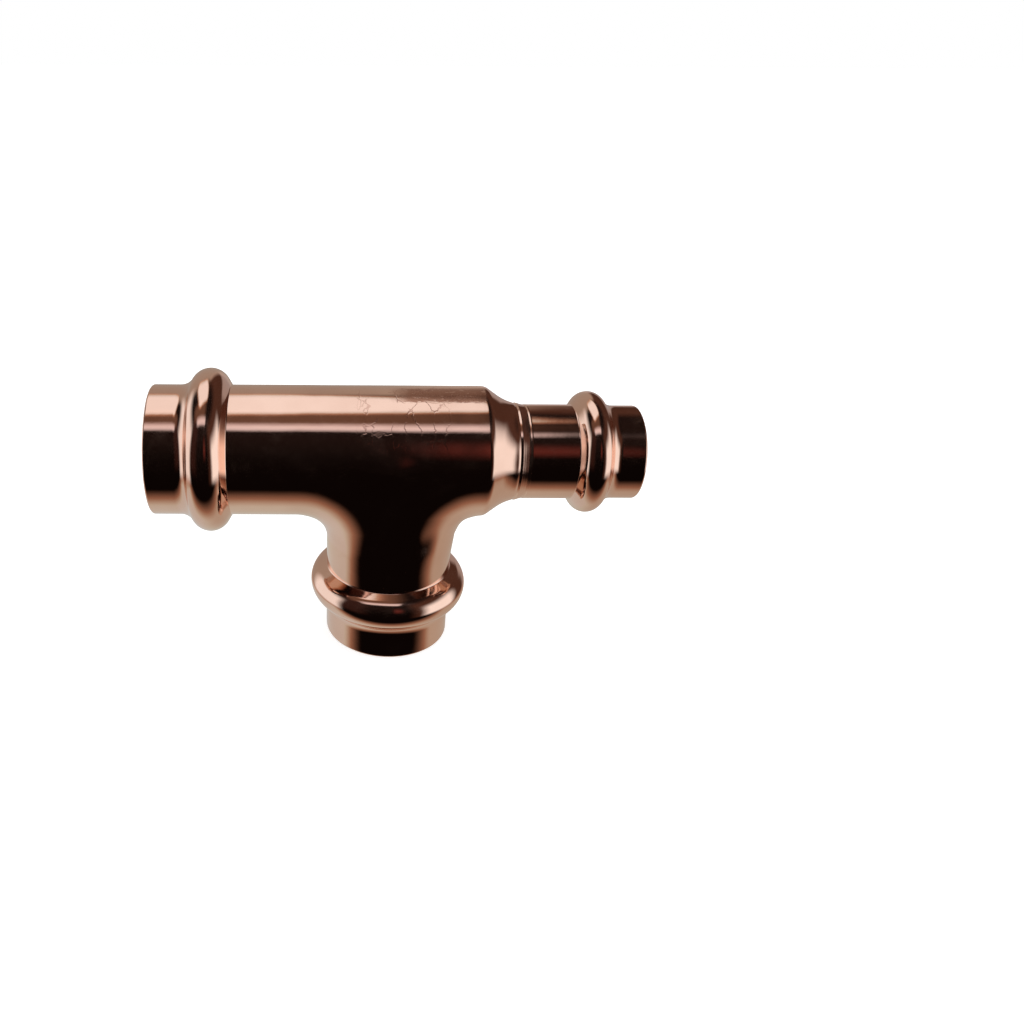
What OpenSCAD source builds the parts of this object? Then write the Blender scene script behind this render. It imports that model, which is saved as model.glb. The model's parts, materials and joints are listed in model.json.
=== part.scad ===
// Reduced-run press tee for copper tube: one seamless copper body with three
// beaded sockets, and one sealing ring in the bead of each socket.
// Frame: +X along the run towards the reduced end, +Z up the branch axis.
// The origin is the centre of the branch mouth, the face the tee stands on.

/* [Layout] */
// Height of the run axis above the branch mouth
run_height = 38.8; // [38:0.1:46]
// Distance from the branch axis to the large run mouth
large_end = 44.7; // [42:0.1:60]
// Distance from the branch axis to the reduced run mouth
reduced_end = 45.15; // [45:0.05:60]

/* [Large sockets] */
// Outside diameter of the tube that the run and branch sockets take
large_tube_d = 22; // [22:0.05:22.1]
// Radial play between tube and socket bore
large_play = 0.1; // [0.06:0.01:0.15]
// Outside radius of the collar at the mouth, and of the run barrel
large_collar_r = 12.2; // [12.1:0.05:12.3]
// Depth that the tube goes in before it meets the stop
large_depth = 21; // [18:0.5:21]
// Distance from the mouth to the middle of the bead
large_bead_pos = 10.85; // [10:0.05:11.5]
// Radius at which the bead's section is centred
large_bead_centre_r = 11.67; // [11.5:0.01:12]
// Outside radius of the bead's section
large_bead_section_r = 3.65; // [3.5:0.01:3.7]
// Fillet between the collar and the bead, on the mouth side
large_fillet_out = 2.94; // [2:0.01:3]
// Fillet between the bead and the barrel, on the inner side
large_fillet_in = 1.61; // [1.2:0.01:2]

/* [Reduced socket] */
// Outside diameter of the tube that the reduced socket takes
small_tube_d = 15; // [15:0.05:15.1]
// Radial play between tube and socket bore
small_play = 0.1; // [0.06:0.01:0.15]
// Outside radius of the collar at the mouth
small_collar_r = 8.7; // [8.65:0.01:8.75]
// Outside radius between the taper and the bead
small_neck_r = 8.84; // [8.8:0.01:8.9]
// Depth that the tube goes in before it meets the stop
small_depth = 20; // [16:0.5:20]
// Distance from the mouth to the middle of the bead
small_bead_pos = 9; // [8.5:0.05:9.5]
// Radius at which the bead's section is centred
small_bead_centre_r = 8.59; // [8.5:0.01:8.7]
// Outside radius of the bead's section
small_bead_section_r = 2.77; // [2.7:0.01:2.85]
// Fillet between the collar and the bead, on the mouth side
small_fillet_out = 2.5; // [1.8:0.01:2.6]
// Fillet between the bead and the neck, on the inner side
small_fillet_in = 0.94; // [0.8:0.01:1.3]

/* [Walls] */
// Wall thickness of the sockets and beads
socket_wall = 1.1; // [1.08:0.01:1.14]
// Wall thickness of the barrel, the branch neck and the taper
barrel_wall = 1.6; // [1.55:0.01:1.7]
// Rounding of the outer edge of each mouth
mouth_round = 0.45; // [0.3:0.05:0.5]
// Lead-in chamfer inside each mouth
lead_in = 0.25; // [0.1:0.05:0.35]

/* [Shape of the tee] */
// Distance from the branch axis to the start of the taper
taper_start = 16.33; // [16.2:0.01:16.6]
// Convex radius where the barrel turns into the taper
taper_shoulder = 2.04; // [1.9:0.01:2.5]
// Slope of the taper
taper_angle = 35.2; // [33:0.1:37]
// Concave radius where the taper runs out into the neck
taper_runout = 9.82; // [9:0.01:10]
// Radius of the crotch between the branch and the large end of the run
large_crotch_r = 5.5; // [4:0.1:5.5]
// Radius of the crotch between the branch and the reduced end of the run
reduced_crotch_r = 4.1; // [3.5:0.1:4.1]

/* [Sealing rings] */
// Thickness of the sealing rings of the large sockets
large_ring_d = 3.12; // [3.0:0.01:3.14]
// Thickness of the sealing ring of the reduced socket
small_ring_d = 2.66; // [2.5:0.01:2.68]
// Gap between a sealing ring and the roof of its bead
ring_gap = 0.04; // [0.02:0.01:0.1]

/* [Hidden] */
$fn = 96;
copper = [0.80, 0.49, 0.36];
epdm = [0.05, 0.05, 0.055];

run_length = large_end + reduced_end;
barrel_bore_r = large_collar_r - barrel_wall;
neck_bore_r = small_neck_r - barrel_wall;
// Straight neck behind the middle of the reduced socket's bead
small_neck_length = 8;
// How much slimmer in radius the bends are than the straight legs
bend_slim = 0.06;
// How far the waterways reach past each stop into its socket
stop_overlap = 0.5;
// How far the hollow passes out through each mouth
mouth_overlap = 1;
// How far fillet webs reach inside the radius they stand on
root_overlap = 1;

// A socket is a list, read through the functions below it
large = [large_tube_d / 2 + large_play, large_collar_r, large_collar_r, large_bead_pos,
         large_bead_centre_r, large_bead_section_r, large_fillet_out, large_fillet_in,
         large_depth];
small = [small_tube_d / 2 + small_play, small_collar_r, small_neck_r, small_bead_pos,
         small_bead_centre_r, small_bead_section_r, small_fillet_out, small_fillet_in,
         small_depth];
function bore_r(socket) = socket[0];
function collar_r(socket) = socket[1];
function neck_r(socket) = socket[2];
function bead_pos(socket) = socket[3];
function bead_centre_r(socket) = socket[4];
function bead_section_r(socket) = socket[5];
function fillet_out(socket) = socket[6];
function fillet_in(socket) = socket[7];
function depth(socket) = socket[8];

// Where a fillet on a cylinder of the given radius touches down, measured
// along the axis from the middle of the socket's bead
function touchdown(socket, radius, fillet) =
    sqrt(pow(bead_section_r(socket) + fillet, 2)
         - pow(radius + fillet - bead_centre_r(socket), 2));

// The web of material between a cylinder and its bead, with a circle of
// radius cut_r taken out around the fillet's centre. side is -1 for the mouth
// side of the bead and 1 for the inner side
module web(socket, radius, fillet, side, root_r, cut_r) {
    middle = bead_pos(socket);
    centre = [radius + fillet, middle + side * touchdown(socket, radius, fillet)];
    difference() {
        polygon([centre, [root_r, centre[1]], [root_r, middle],
                 [bead_centre_r(socket), middle]]);
        translate(centre) circle(cut_r);
    }
}

// Half section of a socket's outside, mouth at y = 0, up to y = top
module socket_skin(socket, top) {
    collar = collar_r(socket);
    neck = neck_r(socket);
    middle = bead_pos(socket);
    root_r = collar - root_overlap;
    square([collar - mouth_round, middle]);
    translate([0, mouth_round]) square([collar, middle - mouth_round]);
    translate([collar - mouth_round, mouth_round]) circle(mouth_round);
    translate([0, middle]) square([neck, top - middle]);
    translate([bead_centre_r(socket), middle]) circle(bead_section_r(socket));
    web(socket, collar, fillet_out(socket), -1, root_r, fillet_out(socket));
    web(socket, neck, fillet_in(socket), 1, root_r, fillet_in(socket));
}

// Half section of a socket's hollow: bore down to the stop, lead-in and bead.
// Both webs are set out from the collar and cut back to the bore
module socket_hollow(socket) {
    bore = bore_r(socket);
    collar = collar_r(socket);
    root_r = bore - root_overlap;
    translate([0, -mouth_overlap]) square([bore, depth(socket) + mouth_overlap]);
    polygon([[root_r, -mouth_overlap], [bore + lead_in + mouth_overlap, -mouth_overlap],
             [root_r, lead_in + root_overlap]]);
    translate([bead_centre_r(socket), bead_pos(socket)])
        circle(bead_section_r(socket) - socket_wall);
    web(socket, collar, fillet_out(socket), -1, root_r, collar + fillet_out(socket) - bore);
    web(socket, collar, fillet_in(socket), 1, root_r, collar + fillet_in(socket) - bore);
}

// Half section from y = 0 to y = top that tapers from wide_r to narrow_r,
// starting at y = start, with a convex shoulder and a concave runout
module taper_section(wide_r, narrow_r, start, shoulder, runout, top) {
    shoulder_end = [wide_r - shoulder + shoulder * cos(taper_angle),
                    start + shoulder * sin(taper_angle)];
    slope_length = (shoulder_end[0] - narrow_r - runout * (1 - cos(taper_angle)))
                   / sin(taper_angle);
    runout_start = [shoulder_end[0] - slope_length * sin(taper_angle),
                    shoulder_end[1] + slope_length * cos(taper_angle)];
    centre = [narrow_r + runout, runout_start[1] + runout * sin(taper_angle)];
    // On the line from the runout's centre through its start
    root_r = narrow_r - root_overlap;
    root = [root_r, centre[1] - (centre[0] - root_r) * tan(taper_angle)];
    square([wide_r, start]);
    translate([wide_r - shoulder, start]) circle(shoulder);
    polygon([[0, start], [wide_r - shoulder, start], shoulder_end, runout_start, root,
             [0, root[1]]]);
    difference() {
        polygon([centre, root, [0, root[1]], [0, centre[1]], [root_r, centre[1]]]);
        translate(centre) circle(runout);
    }
    translate([0, centre[1]]) square([narrow_r, top - centre[1]]);
}

// Half section of the whole run's outside, large mouth at y = 0
module run_skin() {
    socket_skin(large, large_end);
    translate([0, large_bead_pos])
        taper_section(large_collar_r, small_neck_r, large_end + taper_start - large_bead_pos,
                      taper_shoulder, taper_runout,
                      run_length - small_bead_pos - large_bead_pos);
    translate([0, run_length]) mirror([0, 1])
        socket_skin(small, small_bead_pos + small_neck_length);
}

// Half section of the run's hollow
module run_hollow() {
    socket_hollow(large);
    translate([0, large_depth - stop_overlap])
        taper_section(barrel_bore_r, neck_bore_r,
                      large_end + taper_start - large_depth + stop_overlap,
                      taper_shoulder - barrel_wall, taper_runout + barrel_wall,
                      run_length - small_depth - large_depth + 2 * stop_overlap);
    translate([0, run_length]) mirror([0, 1]) socket_hollow(small);
}

// Moves a part to the large run mouth, with its +Z along +X
module at_large_end() {
    translate([-large_end, 0, run_height]) rotate([0, 90, 0]) children();
}

// A quarter bend from the branch round to the +X leg of the run. It is a hair
// slimmer than the straight legs, so that it leaves each of them in a clean line
module bend(tube_r, crotch_r) {
    bend_r = large_collar_r + crotch_r;
    translate([bend_r, 0, run_height - bend_r]) rotate([90, 0, 0])
        rotate_extrude(angle = 90, start = 90)
            translate([bend_r, 0]) circle(tube_r - bend_slim);
}

// The bends on both sides of the branch
module crotch(tube_r) {
    bend(tube_r, reduced_crotch_r);
    mirror([1, 0, 0]) bend(tube_r, large_crotch_r);
}

// The outside of the body as one solid
module skin() {
    at_large_end() rotate_extrude() run_skin();
    rotate_extrude() socket_skin(large, run_height);
    crotch(large_collar_r);
}

// The space inside the body as one solid: three sockets and the waterways
module hollow() {
    at_large_end() rotate_extrude() run_hollow();
    rotate_extrude() {
        socket_hollow(large);
        translate([0, large_depth - stop_overlap])
            square([barrel_bore_r, run_height - large_depth + stop_overlap]);
    }
    crotch(barrel_bore_r);
}

// The seamless copper body
module tee_body() {
    color(copper) difference() {
        union() skin();
        union() hollow();
    }
}

// A sealing ring seated under the roof of a bead, socket mouth at z = 0
module ring(socket, ring_d) {
    roof_r = bead_centre_r(socket) + bead_section_r(socket) - socket_wall;
    translate([0, 0, bead_pos(socket)]) rotate_extrude()
        translate([roof_r - ring_gap - ring_d / 2, 0]) circle(ring_d / 2);
}

module run_sealing_ring() {
    color(epdm) at_large_end() ring(large, large_ring_d);
}

module branch_sealing_ring() {
    color(epdm) ring(large, large_ring_d);
}

module reduced_sealing_ring() {
    color(epdm) translate([reduced_end, 0, run_height]) rotate([0, -90, 0])
        ring(small, small_ring_d);
}

tee_body();
run_sealing_ring();
branch_sealing_ring();
reduced_sealing_ring();
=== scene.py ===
import json
import math

import bpy
import numpy as np
from mathutils import Matrix, Vector


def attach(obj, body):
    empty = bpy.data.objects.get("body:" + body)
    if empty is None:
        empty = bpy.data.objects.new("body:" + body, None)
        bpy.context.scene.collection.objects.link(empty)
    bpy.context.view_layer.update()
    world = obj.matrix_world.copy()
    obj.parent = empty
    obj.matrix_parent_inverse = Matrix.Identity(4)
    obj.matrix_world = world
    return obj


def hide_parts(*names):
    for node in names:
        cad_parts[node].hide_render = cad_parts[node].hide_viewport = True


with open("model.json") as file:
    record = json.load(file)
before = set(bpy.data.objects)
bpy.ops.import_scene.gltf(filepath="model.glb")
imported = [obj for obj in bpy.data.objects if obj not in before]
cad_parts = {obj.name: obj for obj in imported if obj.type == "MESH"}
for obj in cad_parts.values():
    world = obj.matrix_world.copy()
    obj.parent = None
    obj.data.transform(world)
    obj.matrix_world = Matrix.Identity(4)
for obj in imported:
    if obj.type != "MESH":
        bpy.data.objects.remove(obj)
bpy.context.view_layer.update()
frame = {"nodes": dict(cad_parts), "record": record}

# ---------------------------------------------------------------- dimensions, mm
mounts = {m["name"]: m for m in frame["record"]["mounts"]}
H = mounts["run_socket"]["pos_m"][2] * 1000.0           # run axis above the floor
XL = -mounts["run_socket"]["pos_m"][0] * 1000.0         # branch axis to large run mouth
XR = mounts["reduced_run_socket"]["pos_m"][0] * 1000.0  # branch axis to reduced run mouth

R = 12.2            # barrel, branch and large collars
WALL = 1.6
RI = R - WALL
LARGE = dict(rb=mounts["run_socket"]["dims"]["r_mm"], r2=12.2, rn=12.2, tb=10.85, cr=11.67,
             a=3.65, fo=2.94, flank=60.0, depth=21.0, wall=1.1, way=RI)
SMALL = dict(rb=mounts["reduced_run_socket"]["dims"]["r_mm"], r2=8.70, rn=8.84, tb=9.0, cr=8.59,
             a=2.77, fo=2.5, flank=60.0, depth=20.0, wall=1.1, way=8.84 - WALL)
TAPER = dict(xs=16.33, s1=2.04, beta=math.radians(35.2), s2=9.82, r2=8.84)
RHO_L, RHO_R = 6.2, 5.2     # crotch radii, large side and reduced side
RHO_LI, RHO_RI = 7.1, 5.7   # the same inside
COLS = 192                  # columns round every leg
HALF = COLS // 2


# ---------------------------------------------------------------- sections
def arc(cx, cy, r, a0, a1, n, side):
    """Points and outward normals of an arc in a (t, r) section. side 1 if the metal is inside the circle."""
    out = []
    for i in range(n + 1):
        a = math.radians(a0 + (a1 - a0) * i / n)
        c, s = math.cos(a), math.sin(a)
        out.append((cx + r * c, cy + r * s, side * c, side * s))
    return out


def line(t0, r0, t1, r1, n, normal):
    return [(t0 + (t1 - t0) * i / n, r0 + (r1 - r0) * i / n, *normal) for i in range(n + 1)]


def socket_section(s, t_out, t_in):
    """From t_out on the outside, over the bead, round the mouth and back in to t_in on the waterway."""
    tb, cr, a = s["tb"], s["cr"], s["a"]
    out = []
    # neck, crease, straight flank, bead, outer fillet, collar
    fl, c = math.radians(s["flank"]), 0.26
    foot = tb + a * math.sin(fl) + (cr + a * math.cos(fl) - s["rn"]) / math.tan(fl)
    reach = c * math.tan(fl / 2)
    out += line(t_out, s["rn"], foot + reach, s["rn"], 1, (0, 1))
    out += arc(foot + reach, s["rn"] + c, c, -90, -90 - s["flank"], 4, -1)
    t1, r1 = foot - reach * math.cos(fl), s["rn"] + reach * math.sin(fl)
    out += line(t1, r1, tb + a * math.sin(fl), cr + a * math.cos(fl), 3, (math.sin(fl), math.cos(fl)))
    dy2 = s["r2"] + s["fo"] - cr
    dx2 = math.sqrt((a + s["fo"]) ** 2 - dy2 * dy2)
    ang2 = math.degrees(math.atan2(dy2, dx2))
    out += arc(tb, cr, a, 90.0 - s["flank"], 180 - ang2, 26, 1)
    out += arc(tb - dx2, s["r2"] + s["fo"], s["fo"], -ang2, -90, 10, -1)
    e = 0.45
    out += line(tb - dx2, s["r2"], e, s["r2"], 1, (0, 1))
    out += arc(e, s["r2"] - e, e, 90, 180, 6, 1)
    # mouth face and lead-in
    k = 0.22
    out += line(0, s["r2"] - e, 0, s["rb"] + k, 1, (-1, 0))
    out += arc(k, s["rb"] + k, k, 180, 270, 4, 1)
    # bore, groove under the bead, bore
    g = s["r2"] + s["fo"] - s["rb"]
    ai = a - s["wall"]
    out += line(k, s["rb"], tb - dx2, s["rb"], 1, (0, -1))
    out += arc(tb - dx2, s["r2"] + s["fo"], g, -90, -ang2, 6, 1)
    dy3 = s["r2"] + 1.4 - cr
    dx3 = math.sqrt((a + 1.4) ** 2 - dy3 * dy3)
    ang3 = math.degrees(math.atan2(dy3, dx3))
    g3 = s["r2"] + 1.4 - s["rb"]
    out += arc(tb, cr, ai, 180 - ang2, ang3, 16, -1)
    out += arc(tb + dx3, s["r2"] + 1.4, g3, -180 + ang3, -90, 5, 1)
    # stop
    d, w, f = s["depth"], s["way"], 0.12
    out += line(tb + dx3, s["rb"], d - f, s["rb"], 1, (0, -1))
    out += arc(d - f, s["rb"] - f, f, 90, 0, 3, -1)
    f2 = min(0.05, t_in - d)
    out += line(d, s["rb"] - f, d, w + f2, 1, (-1, 0))
    out += arc(d + f2, w + f2, f2, 180, 270, 2, 1)
    out += line(d + f2, w, t_in, w, 1, (0, -1))
    keep = [out[0]]
    for p in out[1:]:
        if math.hypot(p[0] - keep[-1][0], p[1] - keep[-1][1]) > 1e-4:
            keep.append(p)
    return keep


BAND = (22.85, 24.60)       # a turned band where the taper runs out into the neck


def taper_at(x, off):
    """Radius and slope dr/dx of the run at x, with its skin moved in by off and the turned band on the outside."""
    r, slope = bare_taper_at(x, off)
    if off or not 20.4 < x < BAND[1] + 0.1:
        return r, slope
    e = 1e-3
    return r + band_relief(x), slope + (band_relief(x + e) - band_relief(x - e)) / (2 * e)


def ramp(x, a, b):
    t = min(1.0, max(0.0, (x - a) / (b - a)))
    return t * t * (3 - 2 * t)


def band_relief(x):
    """Height of the band over the plain taper, mm: a groove, a rise, then a land that falls away to a crisp edge."""
    a, b = BAND
    marks = 0.0011 * (math.sin(14.1 * x) + math.sin(29.7 * x + 1.3)) * ramp(x, 20.5, 22.0) * (1 - ramp(x, b - 0.2, b))
    shape = ((a - 0.66, 0.0), (a - 0.44, -0.045), (a - 0.04, 0.112), (a + 0.04, 0.114), (a + 1.15, -0.045),
             (b - 0.32, -0.045), (b - 0.10, 0.012), (b + 0.05, 0.0))
    return marks + float(np.interp(x, [p[0] for p in shape], [p[1] for p in shape]))


def bare_taper_at(x, off):
    """Radius and slope dr/dx of the run at x, with its skin moved in by off."""
    t = TAPER
    b, s1, s2 = t["beta"], t["s1"], t["s2"]
    c1 = R - s1
    ra, rb = s1 - off, s2 + off
    x1 = t["xs"] + s1 * math.sin(b)
    r1 = c1 + s1 * math.cos(b)
    run = (r1 - t["r2"] - s2 * (1 - math.cos(b))) / math.sin(b)
    x2 = x1 + run * math.cos(b)
    cx2 = x2 + s2 * math.sin(b)
    c2 = t["r2"] + s2
    xa = t["xs"] + ra * math.sin(b)          # the same tangent points on the moved skin
    xb = cx2 - rb * math.sin(b)
    if x <= t["xs"]:
        return R - off, 0.0
    if x <= xa:
        d = x - t["xs"]
        h = math.sqrt(ra * ra - d * d)
        return c1 + h, -d / h
    if x <= xb:
        return c1 + ra * math.cos(b) - (x - xa) * math.tan(b), -math.tan(b)
    if x < cx2:
        d = cx2 - x
        h = math.sqrt(rb * rb - d * d)
        return c2 - h, -d / h
    return t["r2"] - off, 0.0


# ---------------------------------------------------------------- grids
grids = []      # (points n x m x 3, normals n x m x 3), mm, about the crossing of the axes


def add(points, normals):
    grids.append((np.array(points, float), np.array(normals, float)))


def phis():
    return [math.radians(-90.0 + 360.0 * j / COLS) for j in range(COLS + 1)]


def contact(a, rho, phi, follow, off):
    """The rolling ball that blends the branch into the run at angle phi round the branch."""
    k = R - TAPER["s1"]
    cx, cy = (a + rho) * math.cos(phi), (a + rho) * math.sin(phi)
    e = max(0.0, cx - TAPER["xs"]) if follow else 0.0
    h = math.sqrt((a - k + rho) ** 2 - e * e)
    o = k + h
    cz = -math.sqrt(max(o * o - cy * cy, 0.0))
    c = np.array([cx, cy, cz])
    to_b = np.array([-math.cos(phi), -math.sin(phi), 0.0])
    to_r = -np.array([e, h * cy / o, h * cz / o])
    to_r /= np.linalg.norm(to_r)
    return c, to_b, to_r


def slerp(u, v, t):
    w = math.acos(max(-1.0, min(1.0, float(u @ v))))
    if w < 1e-6:
        return u
    return (math.sin((1 - t) * w) * u + math.sin(t * w) * v) / math.sin(w)


def junction(a, rho_l, rho_r, z_end, x_left, x_mid, x_right, off, sign, rows):
    """The skin of the crossing: blends, branch leg, and both halves of the run."""
    ph = phis()
    n_arc, n_leg, n_run, n_neck = rows
    z_top = {}
    start = {}
    for side, rho, follow in ((1, rho_r, True), (-1, rho_l, False)):
        strip_p, strip_n = [], []
        for j in range(HALF + 1):
            phi = ph[j]
            c, tb, tr = contact(a, rho, phi, follow, off)
            row_p, row_n = [], []
            for i in range(n_arc + 1):
                d = slerp(tr, tb, i / n_arc)
                row_p.append(c + rho * d)
                row_n.append(-d)
            m = np.array([side, 1, 1])
            row_p, row_n = np.array(row_p) * m, np.array(row_n) * m
            strip_p.append(row_p), strip_n.append(row_n * sign)
            key = j if side == 1 else (COLS - j) % COLS
            z_top[key] = c[2]
            start[(side, j)] = row_p[0]
        add(strip_p, strip_n)
    # branch leg
    pts, nor = [], []
    for i in range(n_leg + 1):
        rp, rn = [], []
        for j in range(COLS + 1):
            phi, z0 = ph[j], z_top[j % COLS]
            z = z0 + (z_end - z0) * (i / n_leg)
            rp.append((a * math.cos(phi), a * math.sin(phi), z))
            rn.append((sign * math.cos(phi), sign * math.sin(phi), 0))
        pts.append(rp), nor.append(rn)
    add(pts, nor)
    # run, each half: from the blend (or the middle, over the top) outwards
    knee = max(4, n_run // 2)
    fine = [0.87 * i / n_run for i in range(n_run + 1)] + [0.87 + 0.13 * i / knee for i in range(1, knee + 1)]
    for side, x_end in ((1, x_mid), (-1, x_left)):
        us = fine if side == 1 else [i / n_run for i in range(n_run + 1)]
        pts, nor = [], []
        for j in range(COLS + 1):
            th1 = ph[j] if side == 1 else ph[j]
            if j <= HALF:
                s = start[(side, j)]
                x0, th0 = abs(s[0]), math.atan2(s[1], -s[2])
            else:
                x0, th0 = 0.0, th1
            rp, rn = [], []
            for u in us:
                x = x0 + (x_end - x0) * u
                th = th0 + (th1 - th0) * u
                r, dr = taper_at(x, off) if side == 1 else (a, 0.0)
                if u == 0 and j <= HALF:
                    rp.append(tuple(start[(side, j)]))
                else:
                    rp.append((side * x, r * math.sin(th), -r * math.cos(th)))
                n = math.hypot(1, dr)
                rn.append((sign * side * -dr / n, sign * math.sin(th) / n, sign * -math.cos(th) / n))
            pts.append(rp), nor.append(rn)
        add(pts, nor)
    # run between the middle zone and the reduced socket
    pts, nor = [], []
    if off:
        xs = [x_mid + (x_right - x_mid) * i / n_neck for i in range(n_neck + 1)]
    else:
        xs = [x_mid + (BAND[0] - 0.6 - x_mid) * i / 16 for i in range(16)]
        xs += [BAND[0] - 0.6 + (BAND[1] + 0.3 - BAND[0] + 0.6) * i / 52 for i in range(52)]
        xs += [BAND[1] + 0.3 + (x_right - BAND[1] - 0.3) * i / 2 for i in range(3)]
    for x in xs:
        r, dr = taper_at(x, off)
        n = math.hypot(1, dr)
        pts.append([(x, r * math.sin(p), -r * math.cos(p)) for p in ph])
        nor.append([(sign * -dr / n, sign * math.sin(p) / n, sign * -math.cos(p) / n) for p in ph])
    add(pts, nor)


def socket(section, place):
    ph = phis()
    pts, nor = [], []
    for t, r, nt, nr in section:
        rp, rn = [], []
        for p in ph:
            s, c = math.sin(p), math.cos(p)
            if place == "run":
                rp.append((-XL + t, r * s, -r * c)), rn.append((nt, nr * s, -nr * c))
            elif place == "reduced":
                rp.append((XR - t, r * s, -r * c)), rn.append((-nt, nr * s, -nr * c))
            else:
                rp.append((r * c, r * s, -H + t)), rn.append((nr * c, nr * s, nt))
        pts.append(rp), nor.append(rn)
    add(pts, nor)


T_OUT, T_IN = 15.6, 21.05
X_MID, X_NECK = 18.4, 27.0
X_NECK_IN = XR - 20.2
junction(R, RHO_L, RHO_R, -H + T_OUT, XL - T_OUT, X_MID, X_NECK, 0.0, 1, (16, 18, 26, 0))
OUTER = len(grids)
junction(RI, RHO_LI, RHO_RI, -H + T_IN, XL - T_IN - 0.4, X_MID, X_NECK_IN, WALL, -1, (8, 6, 12, 8))
INNER = len(grids)
socket(socket_section(LARGE, T_OUT, T_IN + 0.4), "run")
socket(socket_section(LARGE, T_OUT, T_IN), "branch")
socket(socket_section(SMALL, XR - X_NECK, XR - X_NECK_IN), "reduced")


# ---------------------------------------------------------------- drawn shape of the crossing
def pipe(p, c, r, side):
    """Distance from a pipe that turns from the run into the branch round a bend of radius c."""
    x, y, z = p[:, 0] * side + c, p[:, 1], p[:, 2] + c
    rho = np.where(z < 0, x, np.hypot(np.maximum(x, 0), np.maximum(z, 0)))
    return np.where(x < 0, 9.0, np.hypot(rho - c, y) - r)       # the straight run takes over past the bend


def soft_union(fields, blend):
    """Union of signed distances with gradients, rounded only where the surfaces meet at an angle."""
    d, g = fields[0]
    for e, h in fields[1:]:
        k = blend * np.linalg.norm(g - h, axis=1) + 1e-6
        w = np.clip(0.5 + 0.5 * (e - d) / k, 0.0, 1.0)
        d = e * (1 - w) + d * w - k * w * (1 - w)
        g = h * (1 - w)[:, None] + g * w[:, None]
    return d, g


def crossing(p, r, off):
    at = np.array([bare_taper_at(x, off) if x > TAPER["xs"] else (r, 0.0) for x in p[:, 0]])
    steep = np.hypot(1, at[:, 1])
    parts = []
    for f in (lambda q: (np.hypot(q[:, 1], q[:, 2]) - at[:, 0]) / steep,
              lambda q: np.sqrt(q[:, 0] ** 2 + q[:, 1] ** 2 + 4 * np.maximum(q[:, 2], 0) ** 2) - r,
              lambda q: pipe(q, BEND_L, r, 1.0), lambda q: pipe(q, BEND_R, r, -1.0)):
        g = np.stack([(f(p + e) - f(p - e)) / 0.002 for e in np.eye(3) * 0.001], 1)
        parts.append((f(p), g))
    parts[0][1][:, 0] = -at[:, 1] / steep
    return soft_union(parts, BLEND)


def swell(p, nn, sign):
    """Forming marks of the branch, mm: fuller on the reduced side under the crotch, with a shallow dent at the front."""
    z, x, y = p[:, 2], p[:, 0], p[:, 1]
    up = np.clip((z + 23.0) / 8.0, 0, 1)
    fade = np.clip((-8.5 - z) / 6.5, 0, 1)
    side = np.clip(x / R, 0, 1) ** 1.5 * np.clip((16.3 - x) / 4.1, 0, 1)
    out = 0.60 * up * up * (3 - 2 * up) * fade * fade * (3 - 2 * fade) * side
    dent = -0.16 * np.exp(-((x - 6.2) / 1.7) ** 2 - ((z + 13.2) / 2.6) ** 2) * (y < 0) * (z > -22.5)
    return (out + dent) * sign


BEND_L, BEND_R, BLEND = R + 5.5, R + 4.1, 2.5
for n in range(INNER):
    outer = n < OUTER
    r, off = (R, 0.0) if outer else (RI, WALL)
    P, N = grids[n]
    shape = P.shape
    p, nn = P.reshape(-1, 3).copy(), N.reshape(-1, 3).copy()
    near = (p[:, 0] < X_MID + 1e-6) & (p[:, 0] > -BEND_L - 1.0)
    q = p[near]
    for _ in range(8):
        d, g = crossing(q, r, off)
        q = q - g * (d / np.maximum((g * g).sum(1), 0.05))[:, None]
    d, g = crossing(q, r, off)
    g /= np.linalg.norm(g, axis=1)[:, None]
    if outer:
        grad = np.stack([(swell(q + e, g, 1) - swell(q - e, g, 1)) / 0.02 for e in np.eye(3) * 0.01], 1)
        grad -= (grad * g).sum(1)[:, None] * g
        q = q + g * swell(q, g, 1)[:, None]
        g = g - grad
        g /= np.linalg.norm(g, axis=1)[:, None]
    p[near], nn[near] = q, g if outer else -g
    grids[n] = (p.reshape(shape), nn.reshape(shape))


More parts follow.
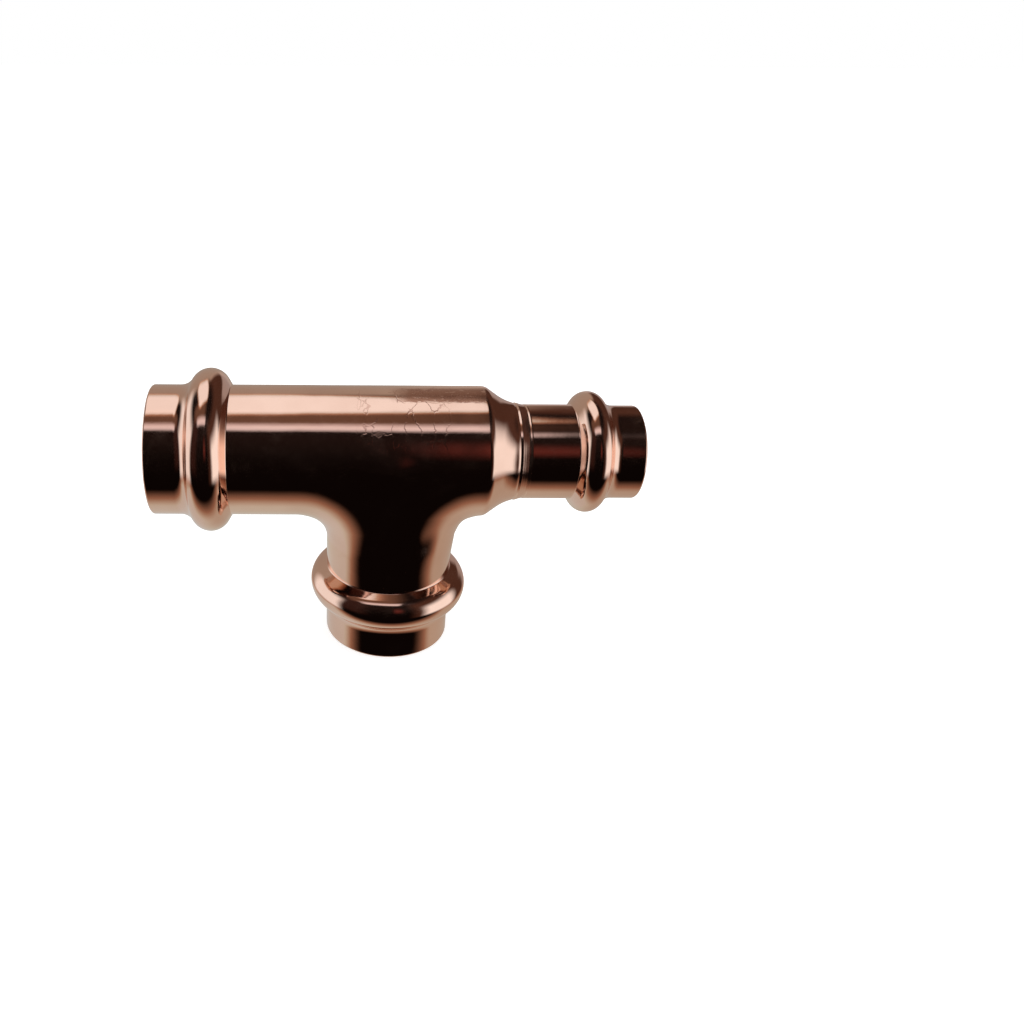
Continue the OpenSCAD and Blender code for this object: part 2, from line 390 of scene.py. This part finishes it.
# ---------------------------------------------------------------- one mesh from the grids
def build(name, grids, weld=2e-4):
    P = np.concatenate([g[0].reshape(-1, 3) for g in grids])
    N = np.concatenate([g[1].reshape(-1, 3) for g in grids])
    quads, base = [], 0
    for p, _ in grids:
        n, m = p.shape[:2]
        i = np.arange(n * m).reshape(n, m) + base
        quads.append(np.stack([i[:-1, :-1], i[1:, :-1], i[1:, 1:], i[:-1, 1:]], -1).reshape(-1, 4))
        base += n * m
    F = np.concatenate(quads)
    key = np.round(P / weld).astype(np.int64)
    # points that fall either side of a rounding edge are joined by trying the half-step keys too
    parent = np.arange(len(P))
    for shift in (0.0, 0.5):
        key = np.floor(P / weld + shift).astype(np.int64)
        _, inv = np.unique(key, axis=0, return_inverse=True)
        inv = inv.ravel()
        first = np.full(inv.max() + 1, -1)
        order = np.arange(len(P))
        first[inv[::-1]] = parent[order[::-1]]
        root = first[inv]
        lo = np.minimum(parent, root)
        hi = np.maximum(parent, root)
        remap = np.arange(len(P))
        np.minimum.at(remap, hi, lo)
        for _ in range(4):
            remap = remap[remap]
        parent = remap[parent]
    used, idx = np.unique(parent, return_inverse=True)
    idx = idx.ravel()
    V = P[used]
    NN = np.zeros_like(V)
    np.add.at(NN, idx, N)
    NN /= np.linalg.norm(NN, axis=1)[:, None]
    F = idx[F]
    faces = []
    flip = 0
    d1, d2 = V[F[:, 2]] - V[F[:, 0]], V[F[:, 3]] - V[F[:, 1]]
    facing = np.einsum("ij,ij->i", np.cross(d1, d2), NN[F].sum(1)) < 0
    for f, back in zip(F.tolist(), facing.tolist()):
        g = []
        for v in f:
            if v not in g:
                g.append(v)
        if len(g) >= 3:
            faces.append(tuple(reversed(g)) if back else tuple(g))
    mesh = bpy.data.meshes.new(name)
    V = V + np.array([0, 0, H])
    mesh.from_pydata((V / 1000.0).tolist(), [], faces)
    mesh.validate()
    mesh.shade_smooth()
    return mesh, V, NN


def wander(P, seed, waves, lo, hi, amp):
    """Smooth waviness of a hand-height surface: value in mm (never above 0) and its gradient."""
    rng = np.random.default_rng(seed)
    val, grad = np.zeros(len(P)), np.zeros_like(P)
    for _ in range(waves):
        d = rng.normal(size=3)
        d /= np.linalg.norm(d)
        k = 2 * math.pi / rng.uniform(lo, hi)
        p = rng.uniform(0, 2 * math.pi)
        s = amp / math.sqrt(waves)
        a = P @ d * k + p
        val += s * np.sin(a)
        grad += (s * k * np.cos(a))[:, None] * d
    return val - 2.2 * amp, grad


mesh, V, N = build("tee_body_skin", grids)
d, g = wander(V, 5, 14, 9.0, 26.0, 0.010)
tang = g - np.einsum("ij,ij->i", g, N)[:, None] * N
V2 = V + N * np.minimum(d, 0.0)[:, None]
N2 = N - tang
N2 /= np.linalg.norm(N2, axis=1)[:, None]
mesh.vertices.foreach_set("co", (V2 / 1000.0).astype(np.float32).ravel())
mesh.update()
mesh.normals_split_custom_set_from_vertices(N2.tolist())
body = bpy.data.objects.new("tee_body_skin", mesh)
bpy.context.scene.collection.objects.link(body)
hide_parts("tee_body")
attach(body, "root")


# ---------------------------------------------------------------- sealing rings
def ring_mesh(name, section_r, centre_r, place, along):
    """A moulded ring: round section with a faint parting flash inside and outside."""
    n, m = 40, 144
    pts, nor = [], []
    for i in range(n + 1):
        a = 2 * math.pi * i / n
        flash = 0.035 * (math.exp(-((math.sin(a) / 0.09) ** 2)) if abs(math.cos(a)) > 0.5 else 0.0)
        r = section_r - 0.03 + flash
        rp, rn = [], []
        for j in range(m + 1):
            p = 2 * math.pi * j / m
            rr = centre_r + r * math.cos(a)
            t = along + r * math.sin(a)
            nr, nt = math.cos(a), math.sin(a)
            c, s = math.cos(p), math.sin(p)
            if place == "run":
                rp.append((-XL + t, rr * s, -rr * c)), rn.append((nt, nr * s, -nr * c))
            elif place == "reduced":
                rp.append((XR - t, rr * s, -rr * c)), rn.append((-nt, nr * s, -nr * c))
            else:
                rp.append((rr * c, rr * s, -H + t)), rn.append((nr * c, nr * s, nt))
        pts.append(rp), nor.append(rn)
    mesh, V, N = build(name, [(np.array(pts), np.array(nor))])
    o = bpy.data.objects.new(name, mesh)
    bpy.context.scene.collection.objects.link(o)
    return o


rings = []
for node, place, s, d in (("run_sealing_ring", "run", LARGE, 3.12), ("branch_sealing_ring", "branch", LARGE, 3.12),
                          ("reduced_sealing_ring", "reduced", SMALL, 2.66)):
    o = ring_mesh(node + "_moulded", d / 2, s["cr"] + s["a"] - s["wall"] - 0.04 - d / 2, place, s["tb"])
    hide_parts(node)
    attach(o, "root")
    rings.append(o)


# ---------------------------------------------------------------- node helper
class X:
    """A shader value that makes Math nodes as it is used in arithmetic."""
    tree = None

    def __init__(self, s):
        self.s = s

    @staticmethod
    def op(kind, *a, clamp=False):
        n = X.tree.nodes.new("ShaderNodeMath")
        n.operation = kind
        n.use_clamp = clamp
        for i, v in enumerate(a):
            if isinstance(v, X):
                X.tree.links.new(v.s, n.inputs[i])
            else:
                n.inputs[i].default_value = float(v)
        return X(n.outputs[0])

    def __add__(self, o): return X.op("ADD", self, o)
    def __radd__(self, o): return X.op("ADD", o, self)
    def __sub__(self, o): return X.op("SUBTRACT", self, o)
    def __rsub__(self, o): return X.op("SUBTRACT", o, self)
    def __mul__(self, o): return X.op("MULTIPLY", self, o)
    def __rmul__(self, o): return X.op("MULTIPLY", o, self)
    def __truediv__(self, o): return X.op("DIVIDE", self, o)


def step(x, lo, hi):
    """0 below lo, 1 above hi, smooth between. lo may be above hi for a falling step."""
    n = X.tree.nodes.new("ShaderNodeMapRange")
    n.interpolation_type = "SMOOTHSTEP"
    rising = hi >= lo
    X.tree.links.new(x.s, n.inputs[0])
    n.inputs[1].default_value, n.inputs[2].default_value = (lo, hi) if rising else (hi, lo)
    n.inputs[3].default_value, n.inputs[4].default_value = (0.0, 1.0) if rising else (1.0, 0.0)
    return X(n.outputs[0])


def window(x, a, b, soft_a, soft_b):
    return step(x, a - soft_a, a + soft_a) * step(x, b + soft_b, b - soft_b)


def rgb_scale(col, x):
    """A colour times a value."""
    n = X.tree.nodes.new("ShaderNodeVectorMath")
    n.operation = "SCALE"
    n.inputs[0].default_value = col
    X.tree.links.new(x.s, n.inputs["Scale"])
    return n.outputs[0]


def rgb_add(*s):
    out = s[0]
    for o in s[1:]:
        n = X.tree.nodes.new("ShaderNodeVectorMath")
        n.operation = "ADD"
        X.tree.links.new(out, n.inputs[0])
        X.tree.links.new(o, n.inputs[1])
        out = n.outputs[0]
    return out


# ---------------------------------------------------------------- copper
def copper_material():
    mat = bpy.data.materials.new("drawn_copper")
    mat.use_nodes = True
    t = mat.node_tree
    X.tree = t
    b = t.nodes["Principled BSDF"]
    b.inputs["Metallic"].default_value = 1.0
    geo = t.nodes.new("ShaderNodeTexCoord")

    def noise(scale, detail, rough, vec=None, distortion=0.0):
        n = t.nodes.new("ShaderNodeTexNoise")
        n.inputs["Scale"].default_value = scale
        n.inputs["Detail"].default_value = detail
        n.inputs["Roughness"].default_value = rough
        n.inputs["Distortion"].default_value = distortion
        t.links.new(vec or geo.outputs["Object"], n.inputs["Vector"])
        return X(n.outputs[0])

    def mapped(scale, rot=(0, 0, 0), loc=(0, 0, 0)):
        n = t.nodes.new("ShaderNodeMapping")
        n.inputs["Scale"].default_value = scale
        n.inputs["Rotation"].default_value = rot
        n.inputs["Location"].default_value = loc
        t.links.new(geo.outputs["Object"], n.inputs["Vector"])
        return n.outputs[0]

    # colour: fresh copper with faint warmer and duller clouds
    cloud = noise(70, 3, 0.55)
    ramp = t.nodes.new("ShaderNodeValToRGB")
    ramp.color_ramp.elements[0].position = 0.30
    ramp.color_ramp.elements[0].color = (0.86, 0.545, 0.415, 1)
    ramp.color_ramp.elements[1].position = 0.68
    ramp.color_ramp.elements[1].color = (0.95, 0.630, 0.490, 1)
    t.links.new(cloud.s, ramp.inputs[0])
    # a matt patch on top of the run, ragged at its edges, and short cracks in the skin beside it
    place = t.nodes.new("ShaderNodeSeparateXYZ")
    t.links.new(geo.outputs["Object"], place.inputs[0])
    px, py, pz = (X(place.outputs[i]) * 1000.0 for i in range(3))
    torn = (noise(700, 4, 0.7) - 0.5) * 3.2
    tall = (noise(1.0, 3, 0.6, vec=mapped((500, 1500, 1500))) - 0.5) * 1.8
    on_top = step(pz, H + 6.0, H + 8.0)
    matt = on_top * window(px + torn, 1.0, 16.4, 2.2, 0.5) * window(py + tall, -4.25, 0.6, 0.35, 0.7)
    speck = step(noise(1.0, 2, 0.5, vec=mapped((900, 2600, 2600))), 0.60, 0.70)
    cells = t.nodes.new("ShaderNodeTexVoronoi")
    cells.feature = "DISTANCE_TO_EDGE"
    cells.inputs["Scale"].default_value = 1.0
    warp = t.nodes.new("ShaderNodeTexNoise")
    warp.inputs["Scale"].default_value = 500
    warp.inputs["Detail"].default_value = 3
    t.links.new(geo.outputs["Object"], warp.inputs["Vector"])
    move = t.nodes.new("ShaderNodeVectorMath")
    move.operation = "MULTIPLY_ADD"
    t.links.new(warp.outputs["Color"], move.inputs[0])
    move.inputs[1].default_value = (0.55, 0.55, 0.55)
    t.links.new(mapped((330, 170, 170)), move.inputs[2])
    t.links.new(move.outputs[0], cells.inputs["Vector"])
    crack = (1.0 - step(X(cells.outputs["Distance"]), 0.006, 0.034)) * step(noise(240, 2, 0.5), 0.47, 0.56)
    crack = crack * step(pz, H + 4.0, H + 7.0) * window(px, -6.5, 9.0, 1.5, 1.5) * step(py, 4.0, 2.0)
    worn = t.nodes.new("ShaderNodeMix")
    worn.data_type = "RGBA"
    t.links.new((matt * (1.0 - 0.7 * speck)).s, worn.inputs[0])
    t.links.new(ramp.outputs[0], worn.inputs[6])
    worn.inputs[7].default_value = (0.50, 0.245, 0.160, 1)
    cut = t.nodes.new("ShaderNodeMix")
    cut.data_type = "RGBA"
    t.links.new((crack * 0.42).s, cut.inputs[0])
    t.links.new(worn.outputs[2], cut.inputs[6])
    cut.inputs[7].default_value = (0.45, 0.20, 0.14, 1)
    t.links.new(cut.outputs[2], b.inputs["Base Color"])
    # roughness: bright drawn finish with duller handling marks
    smear = noise(260, 4, 0.6)
    fine = noise(2200, 3, 0.6)
    rough = 0.065 + 0.075 * step(smear, 0.48, 0.78) + 0.03 * step(fine, 0.5, 0.8)
    turned = window(px, BAND[0] - 0.02, BAND[1] + 0.02, 0.05, 0.05)
    rough = rough + 0.17 * matt * (1.0 - 0.6 * speck) + 0.10 * crack + 0.08 * turned
    t.links.new(rough.s, b.inputs["Roughness"])
    # relief: slow waves of the forming die, fine draw lines along the run, stray scratches
    waves = noise(120, 2, 0.5)
    grain = noise(900, 3, 0.55)
    draw = noise(1.0, 4, 0.6, vec=mapped((60, 2600, 2600)))
    lathe = noise(1.0, 3, 0.6, vec=mapped((5200, 60, 60))) * window(px, 19.0, BAND[1] + 0.02, 3.0, 0.05)
    height = 1.0 * waves + 0.15 * grain + 0.09 * draw - 0.32 * crack - 0.25 * matt * (1.0 - speck) + 0.16 * lathe
    bump = t.nodes.new("ShaderNodeBump")
    bump.inputs["Strength"].default_value = 0.38
    bump.inputs["Distance"].default_value = 0.00006
    t.links.new(height.s, bump.inputs["Height"])
    t.links.new(bump.outputs[0], b.inputs["Normal"])
    return mat


def rubber_material():
    mat = bpy.data.materials.new("epdm_rubber")
    mat.use_nodes = True
    t = mat.node_tree
    X.tree = t
    b = t.nodes["Principled BSDF"]
    geo = t.nodes.new("ShaderNodeTexCoord")
    n = t.nodes.new("ShaderNodeTexNoise")
    n.inputs["Scale"].default_value = 900
    n.inputs["Detail"].default_value = 4
    t.links.new(geo.outputs["Object"], n.inputs["Vector"])
    ramp = t.nodes.new("ShaderNodeValToRGB")
    ramp.color_ramp.elements[0].color = (0.012, 0.012, 0.013, 1)
    ramp.color_ramp.elements[1].color = (0.030, 0.030, 0.032, 1)
    t.links.new(n.outputs[0], ramp.inputs[0])
    t.links.new(ramp.outputs[0], b.inputs["Base Color"])
    r = X(n.outputs[0]) * 0.2 + 0.38
    t.links.new(r.s, b.inputs["Roughness"])
    bump = t.nodes.new("ShaderNodeBump")
    bump.inputs["Strength"].default_value = 0.3
    bump.inputs["Distance"].default_value = 0.00005
    t.links.new(n.outputs[0], bump.inputs["Height"])
    t.links.new(bump.outputs[0], b.inputs["Normal"])
    return mat


copper, rubber = copper_material(), rubber_material()
body.data.materials.append(copper)
for o in rings:
    o.data.materials.append(rubber)
for name, o in frame["nodes"].items():
    mat = copper if name == "tee_body" else rubber
    if not o.material_slots:
        o.data.materials.append(mat)
    for s in o.material_slots:
        s.material = mat


# ---------------------------------------------------------------- floor
LIT = 0.9      # strength of the even white light


def floor_material():
    mat = bpy.data.materials.new("studio_floor")
    mat.use_nodes = True
    b = mat.node_tree.nodes["Principled BSDF"]
    b.inputs["Base Color"].default_value = (0.8, 0.8, 0.8, 1)
    b.inputs["Roughness"].default_value = 0.9
    b.inputs["Specular IOR Level"].default_value = 0.0
    b.inputs["Emission Color"].default_value = (1, 1, 1, 1)      # lit from below as well, as a light table is
    b.inputs["Emission Strength"].default_value = 0.65
    return mat


bpy.ops.mesh.primitive_grid_add(x_subdivisions=4, y_subdivisions=4, size=6.0, location=(0, 0, -0.00002))
floor = bpy.context.object
floor.name = "studio_floor"
floor.data.materials.append(floor_material())
floor.visible_glossy = False     # what the metal mirrors below it is in the world, as a distant sheet

# ---------------------------------------------------------------- world
world = bpy.data.worlds.new("studio")
bpy.context.scene.world = world
world.use_nodes = True
t = world.node_tree
X.tree = t
t.nodes.clear()
tc = t.nodes.new("ShaderNodeTexCoord")
sep = t.nodes.new("ShaderNodeSeparateXYZ")
t.links.new(tc.outputs["Generated"], sep.inputs[0])
dx, dy, dz = (X(sep.outputs[i]) for i in range(3))
deg = 180 / math.pi
# u, v: where the direction meets a ceiling one unit up, to the right and to the back
high = X.op("MAXIMUM", dz, 0.03)
u, v = dx / high, dy / high
above = step(dz, 0.03, 0.12)
# az, el: compass angle from the front, positive to the right, and height; azb: the same from the back
az = X.op("ARCTAN2", dx, 0.0 - dy) * deg
azb = X.op("ARCTAN2", dx, dy) * deg
el = X.op("ARCSINE", dz) * deg
softbox = (above * window(v - 0.4 * X.op("MAXIMUM", u, -0.25), 0.02, 1.05, 0.11, 0.30)
           * step(u + 0.4 * X.op("MINIMUM", v, 0.6), -0.54, -0.30) * step(u + 0.38 * v, 0.49, 0.30) * step(u, 0.31, 0.15))
strip = above * window(v, -0.635, -0.40, 0.10, 0.12) * (
    window(u, -0.62, 0.26, 0.15, 0.06) + 0.025 * window(u, 0.26, 0.60, 0.06, 0.15))
ceiling = above * window(v, -0.45, 0.05, 0.12, 0.12) * window(u, -0.9, 0.18, 0.3, 0.16)
back = window(azb, -52.0, 12.0, 10.0, 6.0) * window(el, -25.0, 44.0, 7.0, 8.0)
back_low = window(azb, 10.0, 44.0, 6.0, 8.0) * window(el, -25.0, 8.0, 7.0, 4.0)
left = window(az, -130.0, -73.0, 10.0, 8.0) * window(el, -23.0, 29.0, 6.0, 12.0)
right_wall = window(az, 52.0, 104.0, 9.0, 10.0) * window(el, -23.0, 22.0, 6.0, 13.0)
warm = window(az, 38.0, 172.0, 12.0, 6.0) * step(el, 62.0, 38.0) * step(el, -30.0, -20.0)
red = window(az, 8.0, 19.0, 4.0, 6.0) * window(el, 14.0, 34.0, 10.0, 12.0)
front_left = window(az, -80.0, -36.0, 14.0, 14.0) * window(el, -10.0, 50.0, 10.0, 10.0)
dim = 0.0032 + 0.0075 * step(el, 5.0, 50.0)
# the white sheet below, fading out towards the front
low = X.op("MAXIMUM", 0.0 - dz, 0.03)
ud, vd = dx / low, dy / low
sheet = (0.57 - 0.11 * step(ud, -0.4, 0.5)) * step(el, -18.0, -32.0) * step(
    vd + 0.12 * X.op("MAXIMUM", X.op("ABSOLUTE", ud) - 0.8, 0.0), -0.85, 0.15)


def warmer(m):
    """A grey level as a colour: the dimmer the warmer."""
    n = X.tree.nodes.new("ShaderNodeCombineXYZ")
    for i, (gain, power, least) in enumerate(((1.0, 1.0, 1.0), (1.9, 1.95, 0.57), (2.3, 2.4, 0.40))):
        c = X.op("MINIMUM", gain * X.op("POWER", m, power), (1.0 + 0.06 * i) * m)
        X.tree.links.new(X.op("MAXIMUM", c, least * m).s, n.inputs[i])
    return n.outputs[0]


env = rgb_add(
    warmer(0.97 * softbox),
    rgb_scale((0.80, 0.78, 0.86), strip),
    rgb_scale((0.130, 0.075, 0.052), ceiling),
    rgb_scale((0.36, 0.32, 0.28), back),
    rgb_scale((0.30, 0.29, 0.29), back_low),
    rgb_scale((0.95, 1.03, 1.10), left),
    rgb_scale((1.00, 1.12, 1.20), right_wall),
    rgb_scale((0.065, 0.030, 0.020), warm),
    rgb_scale((0.100, 0.022, 0.018), red),
    rgb_scale((0.025, 0.010, 0.008), front_left),
    rgb_scale((1.0, 0.60, 0.56), dim),
    warmer(sheet),
)
lp = t.nodes.new("ShaderNodeLightPath")
bg_env = t.nodes.new("ShaderNodeBackground")
t.links.new(env, bg_env.inputs["Color"])
bg_white = t.nodes.new("ShaderNodeBackground")
bg_white.inputs["Color"].default_value = (1, 1, 1, 1)
bg_soft = t.nodes.new("ShaderNodeBackground")
bg_soft.inputs["Color"].default_value = (1, 1, 1, 1)
bg_soft.inputs["Strength"].default_value = LIT
mix1 = t.nodes.new("ShaderNodeMixShader")
mix2 = t.nodes.new("ShaderNodeMixShader")
out = t.nodes.new("ShaderNodeOutputWorld")
t.links.new(lp.outputs["Is Glossy Ray"], mix1.inputs[0])
t.links.new(bg_soft.outputs[0], mix1.inputs[1])
t.links.new(bg_env.outputs[0], mix1.inputs[2])
t.links.new(lp.outputs["Is Camera Ray"], mix2.inputs[0])
t.links.new(mix1.outputs[0], mix2.inputs[1])
t.links.new(bg_white.outputs[0], mix2.inputs[2])
t.links.new(mix2.outputs[0], out.inputs[0])

# ---------------------------------------------------------------- camera
cam_data = bpy.data.cameras.new("camera")
cam = bpy.data.objects.new("camera", cam_data)
bpy.context.scene.collection.objects.link(cam)
pitch, yaw, roll = 0.4562, -0.0034, 0.0042
fwd = Vector((math.sin(yaw) * math.cos(pitch), math.cos(yaw) * math.cos(pitch), -math.sin(pitch)))
right = fwd.cross(Vector((0, 0, 1))).normalized()
upv = right.cross(fwd)
r2 = right * math.cos(roll) + upv * math.sin(roll)
u2 = -right * math.sin(roll) + upv * math.cos(roll)
m = Matrix((r2, u2, -fwd)).transposed().to_4x4()
CAM = Vector((-0.011372, -0.157141, 0.071253 + H / 1000.0))
m.translation = CAM
cam.matrix_world = m
cam_data.sensor_width = 36.0
cam_data.lens = 917.4 / 1024 * 36.0
cam_data.clip_start = 0.005
cam_data.clip_end = 50
SHIFT = ((512 - 328.55) / 1024, (478.06 - 512) / 1024)
# the framing is off-centre: the lens shift holds only while the camera stands in its own place
for prop, value in (("shift_x", SHIFT[0]), ("shift_y", SHIFT[1])):
    fc = cam_data.driver_add(prop)
    drv = fc.driver
    drv.type = "SCRIPTED"
    for name, chan in (("x", "LOC_X"), ("y", "LOC_Y"), ("z", "LOC_Z")):
        v = drv.variables.new()
        v.name = name
        v.type = "TRANSFORMS"
        v.targets[0].id = cam
        v.targets[0].transform_type = chan
        v.targets[0].transform_space = "WORLD_SPACE"
    drv.expression = (f"{value:.6f} if abs(x - {CAM.x:.6f}) + abs(y - {CAM.y:.6f}) + abs(z - {CAM.z:.6f}) < 0.0002 else 0.0")
bpy.context.scene.camera = cam

scene = bpy.context.scene
scene.view_settings.view_transform = "Standard"
scene.view_settings.look = "None"
